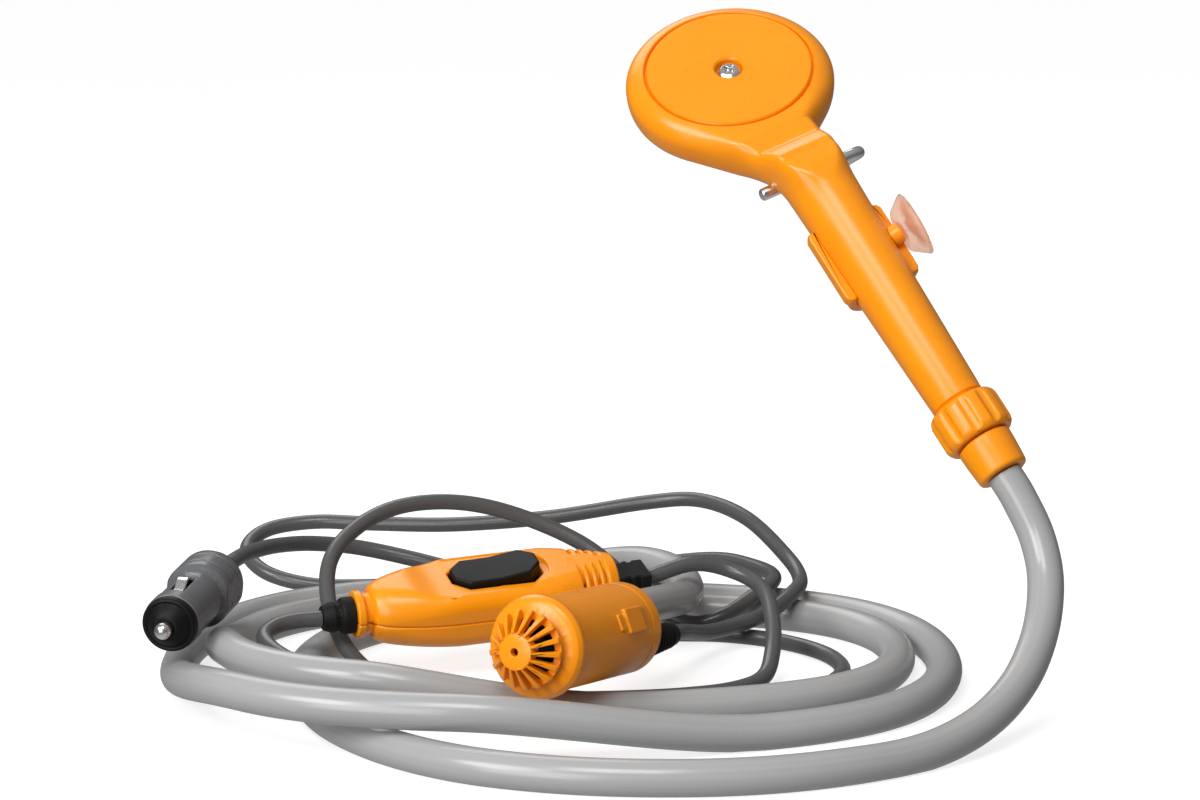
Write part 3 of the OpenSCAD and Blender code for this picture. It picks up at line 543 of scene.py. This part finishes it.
def swept(line, radius, sides):
    """A round tube along a line, a circle drawn out ring by ring, with a UV map along its length."""
    bm = bmesh.new()
    ring = bmesh.ops.create_circle(bm, cap_ends=True, segments=sides, radius=radius)["verts"]
    uv = bm.loops.layers.uv.new("Length")
    edges = list({e for v in ring for e in v.link_edges})
    place = {}
    last = Matrix.Identity(4)
    side = None
    run = 0.0
    count = len(line)
    for i, point in enumerate(line):
        way = (line[min(i + 1, count - 1)] - line[max(i - 1, 0)]).normalized()
        if side is None:
            side = way.orthogonal().normalized()
        side = (side - way * side.dot(way)).normalized()
        here = Matrix((side, way.cross(side), way)).transposed().to_4x4()
        here.translation = point
        if i:
            run += (point - line[i - 1]).length
            drawn = bmesh.ops.extrude_edge_only(bm, edges=edges)["geom"]
            ring = [g for g in drawn if isinstance(g, bmesh.types.BMVert)]
            edges = [g for g in drawn if isinstance(g, bmesh.types.BMEdge)
                     and all(v in ring for v in g.verts)]
        bmesh.ops.transform(bm, matrix=here @ last.inverted(), verts=ring)
        back = here.inverted()
        for v in ring:
            spot = back @ v.co
            place[v] = (run, math.atan2(spot.y, spot.x) / math.tau)
        last = here
    bmesh.ops.contextual_create(bm, geom=edges)
    for face in bm.faces:
        first = place[face.loops[0].vert][1]
        for loop in face.loops:
            along, turn = place[loop.vert]
            turn += 1.0 if turn - first < -0.5 else -1.0 if turn - first > 0.5 else 0.0
            loop[uv].uv = (along, turn)
    for v in bm.verts:
        v.co.z = max(v.co.z, 0.0)
    bmesh.ops.recalc_face_normals(bm, faces=bm.faces)
    return bm


def eased(s, keys):
    """Value at s of a curve that eases between keys of place and value."""
    if s <= keys[0][0]:
        return keys[0][1]
    for (a, low), (b, high) in zip(keys, keys[1:]):
        if s <= b:
            t = (s - a) / (b - a)
            return low + (high - low) * t * t * (3 - 2 * t)
    return keys[-1][1]


def spun(profile, steps=96):
    """A ring or a disc turned about Z from a closed profile of radius and height in millimetres."""
    bm = bmesh.new()
    dots = [bm.verts.new((r * MM, 0, z * MM)) for r, z in profile]
    edges = [bm.edges.new(pair) for pair in zip(dots, dots[1:] + dots[:1])]
    bmesh.ops.spin(bm, geom=dots + edges, cent=(0, 0, 0), axis=(0, 0, 1), angle=math.tau, steps=steps,
                   use_merge=True)
    bmesh.ops.remove_doubles(bm, verts=bm.verts, dist=SEAM)
    bmesh.ops.recalc_face_normals(bm, faces=bm.faces)
    return bm


def cut_away(obj, cutters):
    """Cuts spun shapes out of a piece and takes the cutters away again."""
    for bm, matrix in cutters:
        bm.transform(matrix)
        mesh = bpy.data.meshes.new("Cutter")
        bm.to_mesh(mesh)
        bm.free()
        tool = bpy.data.objects.new("Cutter", mesh)
        bpy.context.scene.collection.objects.link(tool)
        step = obj.modifiers.new("Cut", "BOOLEAN")
        step.operation = "DIFFERENCE"
        step.solver = "EXACT"
        step.object = tool
        bpy.context.view_layer.update()
        done = bpy.data.meshes.new_from_object(obj.evaluated_get(bpy.context.evaluated_depsgraph_get()))
        obj.modifiers.remove(step)
        old = obj.data
        obj.data = done
        bpy.data.meshes.remove(old)
        bpy.data.objects.remove(tool)
        bpy.data.meshes.remove(mesh)
    if not obj.data.polygons:
        raise RuntimeError("nothing left of " + obj.name)


# The hand shower's outside
def grip_r(s):
    """Radius of the grip at a place along the spine."""
    return GRIP_LOW_R + (GRIP_TOP_R - GRIP_LOW_R) * s / GRIP_TAPER


def end_round(s):
    """How far the lower end of the grip is rounded in."""
    return END_ROUND * max(0.0, 1 - s / END_LONG)


# The web on the left of the neck: a straight flank from the grip that touches the round head
FLANK_AT = 114.0
FLANK_SPAN = math.hypot(HEAD_AT - FLANK_AT, GRIP_TOP_R)
FLANK_RISE = math.asin(HEAD_R / FLANK_SPAN) - math.atan2(GRIP_TOP_R, HEAD_AT - FLANK_AT)
FLANK_END = HEAD_AT - HEAD_R * math.sin(FLANK_RISE)


def half_width(s, left):
    """Half width of the hand shower: the grip flowing into the round head, with a web on the left."""
    away = s - HEAD_AT
    reach = HEAD_R ** 2 - away ** 2
    head = math.copysign(math.sqrt(abs(reach)), reach)
    if s >= (FLANK_END if left else HEAD_AT):
        return head
    grip = grip_r(min(s, GRIP_HELD)) - end_round(s)
    flank = GRIP_TOP_R + (s - FLANK_AT) * math.tan(FLANK_RISE) if left else head
    blend = WEB_BLEND if left else HEAD_BLEND
    near = max(blend - abs(grip - flank), 0.0) / blend
    return max(grip, flank) + near * near * blend / 4


def spine(s):
    """Place and lean of the spine, which bends forward at the neck."""
    place = Vector((0, 0, min(s, BEND_FROM)))
    past = max(0.0, s - BEND_FROM)
    for k in range(BEND_STEPS):
        a = HEAD_LEAN * eased(BEND_FROM + past * (k + 0.5) / BEND_STEPS, BEND)
        place += Vector((0, math.sin(a), math.cos(a))) * past / BEND_STEPS
    return place, HEAD_LEAN * eased(s, BEND)


# Height of the back above the spine: flat facet, raised edge, trough and the flat of the head
BACK = [(96, 12.88), (101, 12.9), (104, 12.5), (109.4, 10.85), (110.4, 11.1), (111.2, 11.1),
        (112.0, 10.75), (116.8, 8.2), (118.0, 7.3), (119.2, 6.85), (120.4, 6.8), (122, 7.0),
        (126.4, 7.85), (127.4, 8.0)]


def level(s, keys):
    """Value at s on the straight lines between keys of place and value."""
    for (a, low), (b, high) in zip(keys, keys[1:]):
        if s <= b:
            return low + (high - low) * max(0.0, s - a) / (b - a)
    return keys[-1][1]


def hand_rows():
    """Places along the spine of the rows of the hand shower's grid."""
    rows = [0]
    for (start, _), (end, count) in zip(ROWS, ROWS[1:]):
        rows += [start + (end - start) * i / count for i in range(1, count + 1)]
    quarter = math.pi / 2 / HEAD_ROWS
    return rows + [HEAD_AT + HEAD_R * math.sin(quarter * i) for i in range(1, HEAD_ROWS + 1)]


def hand_half(bm, back, rim):
    """One side of the hand shower, the back or the front, as a grid laid over its outline."""
    rows = hand_rows()
    last = len(rows) - 1
    grid = bmesh.ops.create_grid(bm, x_segments=COLUMNS, y_segments=last, size=1.0)["verts"]
    for v in grid:
        s = rows[round((v.co.y + 1) / 2 * last)]
        left = v.co.x < 0
        wide = max(half_width(s, left), 0.0)
        x = wide * math.sin(math.pi / 2 * v.co.x)
        ahead = half_width(min(s + SLOPE_STEP, HEAD_AT), left)
        behind = half_width(min(s, HEAD_AT) - SLOPE_STEP, left)
        slope = (ahead - behind) / (2 * SLOPE_STEP)
        straight = (wide - abs(x)) / math.sqrt(1 + slope * slope)
        radial = HEAD_R - math.hypot(x, s - HEAD_AT)
        edge = max(0.0, straight + (radial - straight) * eased(s, RIM_MIX))
        if back:
            high = level(s, BACK)
            widths = (wide, NECK_FILLET, NECK_FILLET, rim)
            fillet = eased(s, list(zip(BACK_FILLET_AT, widths)))
        else:
            high = eased(s, list(zip(FRONT_LEVEL_AT, (grip_r(GRIP_END), HEAD_HALF))))
            fillet = eased(s, list(zip(FRONT_FILLET_AT, (wide, FRONT_FILLET))))
        if s < GRIP_END:
            high = grip_r(s) - end_round(s)
        fillet = max(min(fillet, wide), LEAST_FILLET)
        part = 1 - min(edge / fillet, 1.0)
        thick = high * math.sqrt(max(0.0, 1 - part * part))
        at, lean = spine(s)
        way = Vector((0, math.cos(lean), -math.sin(lean))) * (-thick if back else thick)
        v.co = (at + way + Vector((x, 0, 0))) * MM


# The switch housing's half width and half height along its length, in millimetres: straight tapers and
# the fuller moulding
POD_STRAIGHT = [(-42, 9, 9), (-13, 16.5, 12), (25, 16.5, 12), (48, 11.5, 11.5)]
POD_FULL = [(-44, 9, 9), (-42.6, 10.2, 10), (-40, 11.5, 10.7), (-34, 13.4, 11.35), (-26, 15.3, 11.75),
            (-16, 16.5, 12), (-4, 16.8, 12), (18, 16.8, 12), (27, 16.4, 12), (36, 15, 11.9),
            (44, 13.2, 11.7), (50, 11.5, 11.3)]
POD_CURVE_STEPS = 8
POD_SLICES = range(-43, 50, 2)

# The flat landing round the rocker: height, radius with its edge, where its round end begins, how far
# down the swelling fades out, and where the landing follows the housing's fall
LANDING_Z = 10.3
LANDING_R = 13.0
LANDING_EDGE = 0.6
LANDING_X = 11.0
LANDING_NEAR = 0.05
LANDING_FADE = [(LANDING_Z - 3, 0), (LANDING_Z - LANDING_NEAR, 1)]
LANDING_FALL = [(-29, 1), (-19, 0)]


def fuller_pod(bm):
    """Swells the switch housing's straight tapers, with its landing left flat."""
    curve = smooth(POD_FULL, POD_CURVE_STEPS)
    bm.transform(Matrix.Scale(1 / MM, 4) @ SWITCH.inverted())
    for x in POD_SLICES:
        bmesh.ops.bisect_plane(bm, geom=[*bm.verts, *bm.edges, *bm.faces],
                               plane_co=(x, 0, 0), plane_no=(1, 0, 0))
    for v in bm.verts:
        x, y, z = v.co
        wide = level(x, [(p.x, p.y) for p in curve]) / level(x, [(p[0], p[1]) for p in POD_STRAIGHT])
        high = level(x, [(p.x, p.z) for p in curve]) / level(x, [(p[0], p[2]) for p in POD_STRAIGHT])
        kept = 0.0
        away = math.hypot(max(x - LANDING_X, 0), y)
        if z < LANDING_Z + LANDING_NEAR and away < LANDING_R + LANDING_EDGE:
            kept = eased(z, LANDING_FADE)
        swell = z * (high - 1)
        landing = LANDING_Z * (high - 1) * eased(x, LANDING_FALL)
        v.co.y = y * wide
        v.co.z = z + swell + (landing - swell) * kept
    bm.transform(SWITCH @ Matrix.Scale(MM, 4))


def head_frame():
    """Frame of the spray head: +Z to its back, +Y along the head away from the grip."""
    place, lean = spine(HEAD_AT)
    turn = Matrix.Rotation(-lean, 4, "X") @ Matrix.Rotation(math.pi / 2, 4, "X")
    return HAND @ Matrix.Translation(place * MM) @ turn


PAPER_HALF = 10.0
PAPER_FLAT = 4.0
PAPER_RISE = 0.5
PAPER_DROP = 0.0002
PAPER_CELLS = 80
PAPER_TONE = "#B3B3B3"
PAPER_GLOW = 0.74
WHITE = (1, 1, 1, 1)

# Light from all round: weakest at the horizon, and stronger from below, as white paper throws it up
SKY_LOW = 0.10
SKY_HIGH = 0.55
SKY_BELOW = 1.6

# The even light of the studio and its three softboxes: watts, width and place in metres
SUN_POWER = 1.35
SUN_WIDE = math.radians(24)
SUN_FROM = (-0.9, -0.8, 0.9)
SUN_TO = (0, 0, 0.05)
SOFTBOXES = (
    ("Key softbox", 9.5, 0.6, (-0.20, -0.93, 1.33)),
    ("Low fill", 9.0, 0.8, (-0.75, -1.3, 0.35)),
    ("Edge light", 5.0, 0.8, (-0.35, 1.0, 1.1)),
)
SOFTBOX_TO = (0.02, 0, 0.1)

# The camera: what it looks at, from how far and how steeply, and its lens and sensor in millimetres
LOOK_AT = (0.010, -0.040, 0.110)
LOOK_FAR = 1.17
LOOK_DOWN = math.radians(11)
LENS = 100
SENSOR = 36


def lay_paper(scene):
    bm = bmesh.new()
    bmesh.ops.create_grid(bm, x_segments=PAPER_CELLS, y_segments=PAPER_CELLS, size=PAPER_HALF)
    for v in bm.verts:
        v.co.z = PAPER_RISE * max(0.0, v.co.xy.length - PAPER_FLAT) ** 2 - PAPER_DROP
    mesh = bpy.data.meshes.new("Floor")
    bm.to_mesh(mesh)
    bm.free()
    mesh.shade_smooth()
    floor = bpy.data.objects.new("Floor", mesh)
    scene.collection.objects.link(floor)
    # Matt background paper from the roll: faintly cloudy, without any shine
    made, tree, shader, coords = new_material("white paper")
    toned(tree, shader, noise(tree, coords, PAPER_PATCH, 2.0), linear(PAPER_TONE), 0.98, 1.02)
    shader.inputs["Roughness"].default_value = 0.9
    shader.inputs["Specular IOR Level"].default_value = 0.0
    shader.inputs["Emission Color"].default_value = WHITE
    shader.inputs["Emission Strength"].default_value = PAPER_GLOW
    mesh.materials.append(made)
    floor.visible_diffuse = False
    floor.visible_glossy = False
    floor.visible_shadow = False


def light_sky(scene):
    """Sets up the light from all round."""
    world = bpy.data.worlds.new("Studio")
    world.use_nodes = True
    tree = world.node_tree
    sky = tree.nodes["Background"]
    sky.inputs["Color"].default_value = WHITE
    way = put(tree, "ShaderNodeTexCoord")
    split = put(tree, "ShaderNodeSeparateXYZ", links={"Vector": (way, "Generated")})
    below = put(tree, "ShaderNodeMath", {"operation": "MULTIPLY"}, {1: -SKY_BELOW}, {0: (split, "Z")})
    steep = put(tree, "ShaderNodeMath", {"operation": "MAXIMUM"},
                links={0: (split, "Z"), 1: (below, 0)})
    dome = put(tree, "ShaderNodeMapRange",
               sockets={"From Max": SKY_BELOW, "To Min": SKY_LOW, "To Max": SKY_HIGH},
               links={"Value": (steep, 0)})
    tree.links.new(dome.outputs["Result"], sky.inputs["Strength"])
    scene.world = world


def hang_lamps(scene):
    """Hangs the even light and the softboxes."""
    sun = bpy.data.lights.new("Even key", "SUN")
    sun.energy = SUN_POWER
    sun.angle = SUN_WIDE
    lamps = [(sun, SUN_FROM, SUN_TO)]
    for name, power, wide, at in SOFTBOXES:
        lamp = bpy.data.lights.new(name, "AREA")
        lamp.energy = power
        lamp.size = wide
        lamps.append((lamp, at, SOFTBOX_TO))
    for lamp, at, to in lamps:
        obj = bpy.data.objects.new(lamp.name, lamp)
        obj.location = at
        obj.rotation_euler = (Vector(to) - Vector(at)).to_track_quat("-Z", "Y").to_euler()
        scene.collection.objects.link(obj)


def place_camera(scene):
    eye = bpy.data.cameras.new("Camera")
    eye.lens = LENS
    eye.sensor_width = SENSOR
    camera = bpy.data.objects.new("Camera", eye)
    away = Vector((0, -math.cos(LOOK_DOWN), math.sin(LOOK_DOWN)))
    camera.location = Vector(LOOK_AT) + LOOK_FAR * away
    camera.rotation_euler = (math.pi / 2 - LOOK_DOWN, 0, 0)
    scene.collection.objects.link(camera)
    scene.camera = camera
    scene.view_settings.view_transform = "Standard"


# Operators
class StageOperator(bpy.types.Operator):
    """Sets up the floor, the light and the camera"""

    bl_idname = "shower.stage"
    bl_label = "Studio"

    def execute(self, context):
        lay_paper(context.scene)
        light_sky(context.scene)
        hang_lamps(context.scene)
        place_camera(context.scene)
        return {"FINISHED"}


class HoseOperator(bpy.types.Operator):
    """Lays the water hose from the hand shower through the coil to the pump"""

    bl_idname = "shower.hose"
    bl_label = "Hose"

    def execute(self, context):
        size = context.scene.shower_sizes.hose_diameter
        top = HAND @ Vector((0, 0, -SLEEVE_END * MM))
        way = PUMP.to_3x3() @ Vector((0, 0, 1))
        tip = PUMP @ Vector(SPIGOT_END)
        riser = smooth([coil_at(COIL_FROM), *RISER, top], HOSE_STEPS)
        turns = COIL_TO - COIL_FROM
        coil = [coil_at(COIL_FROM + turns * i / COIL_STEPS) for i in range(COIL_STEPS + 1)]
        tail = smooth([coil_at(COIL_TO), *TAIL, tip + TAIL_OUT * way, tip], HOSE_STEPS)
        line = riser[::-1] + coil[1:] + tail[1:]
        obj = finished(swept(line, size / 2, HOSE_SIDES), "Hose", "hose_riser", "hose_coil", "hose_tail",
                       angle=CORD_SHARP)
        return {"FINISHED"}


class LeadsOperator(bpy.types.Operator):
    """Lays the leads from the pump to the switch and from the switch to the plug"""

    bl_idname = "shower.leads"
    bl_label = "Leads"

    def execute(self, context):
        size = context.scene.shower_sizes.lead_diameter
        way = PUMP.to_3x3() @ Vector((0, 0, 1))
        boot = PUMP @ Vector(BOOT_END)
        right = SWITCH @ Vector(SWITCH_RIGHT)
        left = SWITCH @ Vector(SWITCH_LEFT)
        rear = PLUG @ Vector(PLUG_REAR)
        route = [boot, boot + LEAD_OUT * way, *PUMP_LEAD[::-1], *SWITCH_LEAD[::-1], right]
        line = smooth(route, LEAD_STEPS)
        obj = finished(swept(line, size / 2, LEAD_SIDES), "PumpLead", "pump_lead", "switch_lead",
                       angle=CORD_SHARP)
        line = smooth([left, *PLUG_LEAD[::-1], rear], LEAD_STEPS)
        obj = finished(swept(line, size / 2, LEAD_SIDES), "PlugLead", "plug_lead", angle=CORD_SHARP)
        return {"FINISHED"}


class HandsetOperator(bpy.types.Operator):
    """Makes the hand shower's shell, screw and spray plate"""

    bl_idname = "shower.handset"
    bl_label = "Hand shower"

    def execute(self, context):
        edge = context.scene.shower_sizes.edge_round
        rim = context.scene.shower_sizes.rim_round / MM
        bm = bmesh.new()
        hand_half(bm, True, rim)
        hand_half(bm, False, rim)
        bmesh.ops.remove_doubles(bm, verts=bm.verts, dist=SHELL_JOIN)
        bmesh.ops.holes_fill(bm, edges=[e for e in bm.edges if e.is_boundary], sides=0)
        bmesh.ops.recalc_face_normals(bm, faces=bm.faces)
        bm.transform(HAND)
        obj = finished(bm, "HandsetShell", "handset_shell")
        head = head_frame()
        cuts = ((GROOVE, HEAD_HALF), (RECESS, HEAD_HALF), (SEAT, -HEAD_HALF))
        cut_away(obj, [(spun([(r, face + z) for r, z in cut]), head) for cut, face in cuts])
        obj.data.set_sharp_from_angle(angle=SHELL_SHARP)
        softened("head_screw", edge * 0.3)
        softened("spray_plate", edge * 0.6)
        carried("spray_seal")
        return {"FINISHED"}


class FittingsOperator(bpy.types.Operator):
    """Makes the hook, the clip with its cup and the union on the hand shower"""

    bl_idname = "shower.fittings"
    bl_label = "Hook, cup and union"

    def execute(self, context):
        edge = context.scene.shower_sizes.edge_round
        hole = Matrix.Translation(Vector(HOOK_HOLE) * MM)
        turn = HAND @ hole @ Matrix.Rotation(HOOK_LEAN, 4, "X") @ Matrix.Scale(MM, 4)
        line = [Vector((x, 0, 0)) for x in HOOK_ACROSS]
        side = line[-1].x
        for middle, first in HOOK_BENDS:
            for k in range(1, HOOK_BEND_STEPS + 1):
                a = math.radians(first + 90 * k / HOOK_BEND_STEPS)
                bent = Vector((math.cos(a), math.sin(a), 0)) * HOOK_BEND_R
                line.append(Vector((side, middle, 0)) + bent)
        line += [Vector((x, HOOK_REACH, 0)) for x in HOOK_BACK]
        bm = swept([turn @ p for p in line], HOOK_R * MM, HOOK_SIDES)
        rims = [e for e in bm.edges if len(e.link_faces) == 2 and e.calc_face_angle() > HOOK_RIM]
        bmesh.ops.bevel(bm, geom=rims, offset=HOOK_ROUND * MM, segments=4, profile=0.5, affect="EDGES",
                        clamp_overlap=True, material=-1)
        finished(bm, "HangingHook", "hanging_hook")
        softened("cup_bracket", edge * 1.4)
        softened("suction_cup", edge * 0.6)
        softened("swivel_nut", edge * 1.2)
        softened("hose_sleeve", edge * 1.4)
        carried("swivel_washer")
        return {"FINISHED"}


class PumpOperator(bpy.types.Operator):
    """Makes the pump with its inlet grille and cable boot"""

    bl_idname = "shower.pump"
    bl_label = "Pump"

    def execute(self, context):
        edge = context.scene.shower_sizes.edge_round
        softened("inlet_grille", edge * 0.7, angle=24)
        softened("pump_body", edge * 1.2)
        softened("rear_cap", edge * 1.6)
        softened("outlet_spigot", edge)
        softened("pump_boot", edge * 0.7)
        softened("impeller", edge * 0.5)
        carried("motor_shaft", "shaft_seal", "motor_can", "rear_seal", "rear_screws")
        return {"FINISHED"}


class SwitchOperator(bpy.types.Operator):
    """Makes the in-line switch with its rocker and boots"""

    bl_idname = "shower.switch"
    bl_label = "Switch"

    def execute(self, context):
        edge = context.scene.shower_sizes.edge_round
        softened("switch_upper", edge * 1.6, angle=20, reshape=fuller_pod)
        softened("switch_lower", edge * 1.6, angle=20, reshape=fuller_pod)
        softened("switch_rocker", edge * 1.9, angle=12)
        softened("switch_boot_in", edge)
        softened("switch_boot_out", edge * 1.4)
        carried("switch_module", "switch_screws")
        return {"FINISHED"}


class PlugOperator(bpy.types.Operator):
    """Makes the plug with its tip and side contacts"""

    bl_idname = "shower.plug"
    bl_label = "Plug"

    def execute(self, context):
        edge = context.scene.shower_sizes.edge_round
        softened("plug_shell", edge)
        softened("plug_cap", edge * 0.8, angle=24)
        softened("plug_relief", edge)
        softened("plug_tip", edge * 0.6)
        softened("contact_upper", edge * 0.6)
        softened("contact_lower", edge * 0.6)
        carried("plug_fuse", "tip_spring")
        return {"FINISHED"}


class ShowerPanel(bpy.types.Panel):
    bl_idname = "VIEW3D_PT_shower"
    bl_label = "Camp Shower Kit"
    bl_space_type = "VIEW_3D"
    bl_region_type = "UI"
    bl_category = "Shower"

    def draw(self, context):
        for step in STEPS:
            self.layout.operator(step.bl_idname)
        for group in (context.scene.shower_sizes, context.scene.shower_colours):
            for name in group.bl_rna.properties.keys():
                if name not in ("rna_type", "name"):
                    self.layout.prop(group, name)


STEPS = (StageOperator, HoseOperator, HandsetOperator, FittingsOperator, PumpOperator, SwitchOperator,
         PlugOperator, LeadsOperator)
CLASSES = (ShowerSizes, ShowerColours, *STEPS, ShowerPanel)


def register():
    for cls in CLASSES:
        bpy.utils.register_class(cls)
    bpy.types.Scene.shower_sizes = bpy.props.PointerProperty(type=ShowerSizes)
    bpy.types.Scene.shower_colours = bpy.props.PointerProperty(type=ShowerColours)


def unregister():
    """Takes the classes and the settings away again."""
    del bpy.types.Scene.shower_colours
    del bpy.types.Scene.shower_sizes
    for cls in reversed(CLASSES):
        bpy.utils.unregister_class(cls)


def main():
    register()
    bpy.ops.shower.stage()
    bpy.ops.shower.hose()
    bpy.ops.shower.handset()
    bpy.ops.shower.fittings()
    bpy.ops.shower.pump()
    bpy.ops.shower.switch()
    bpy.ops.shower.plug()
    bpy.ops.shower.leads()


if __name__ == "__main__":
    main()
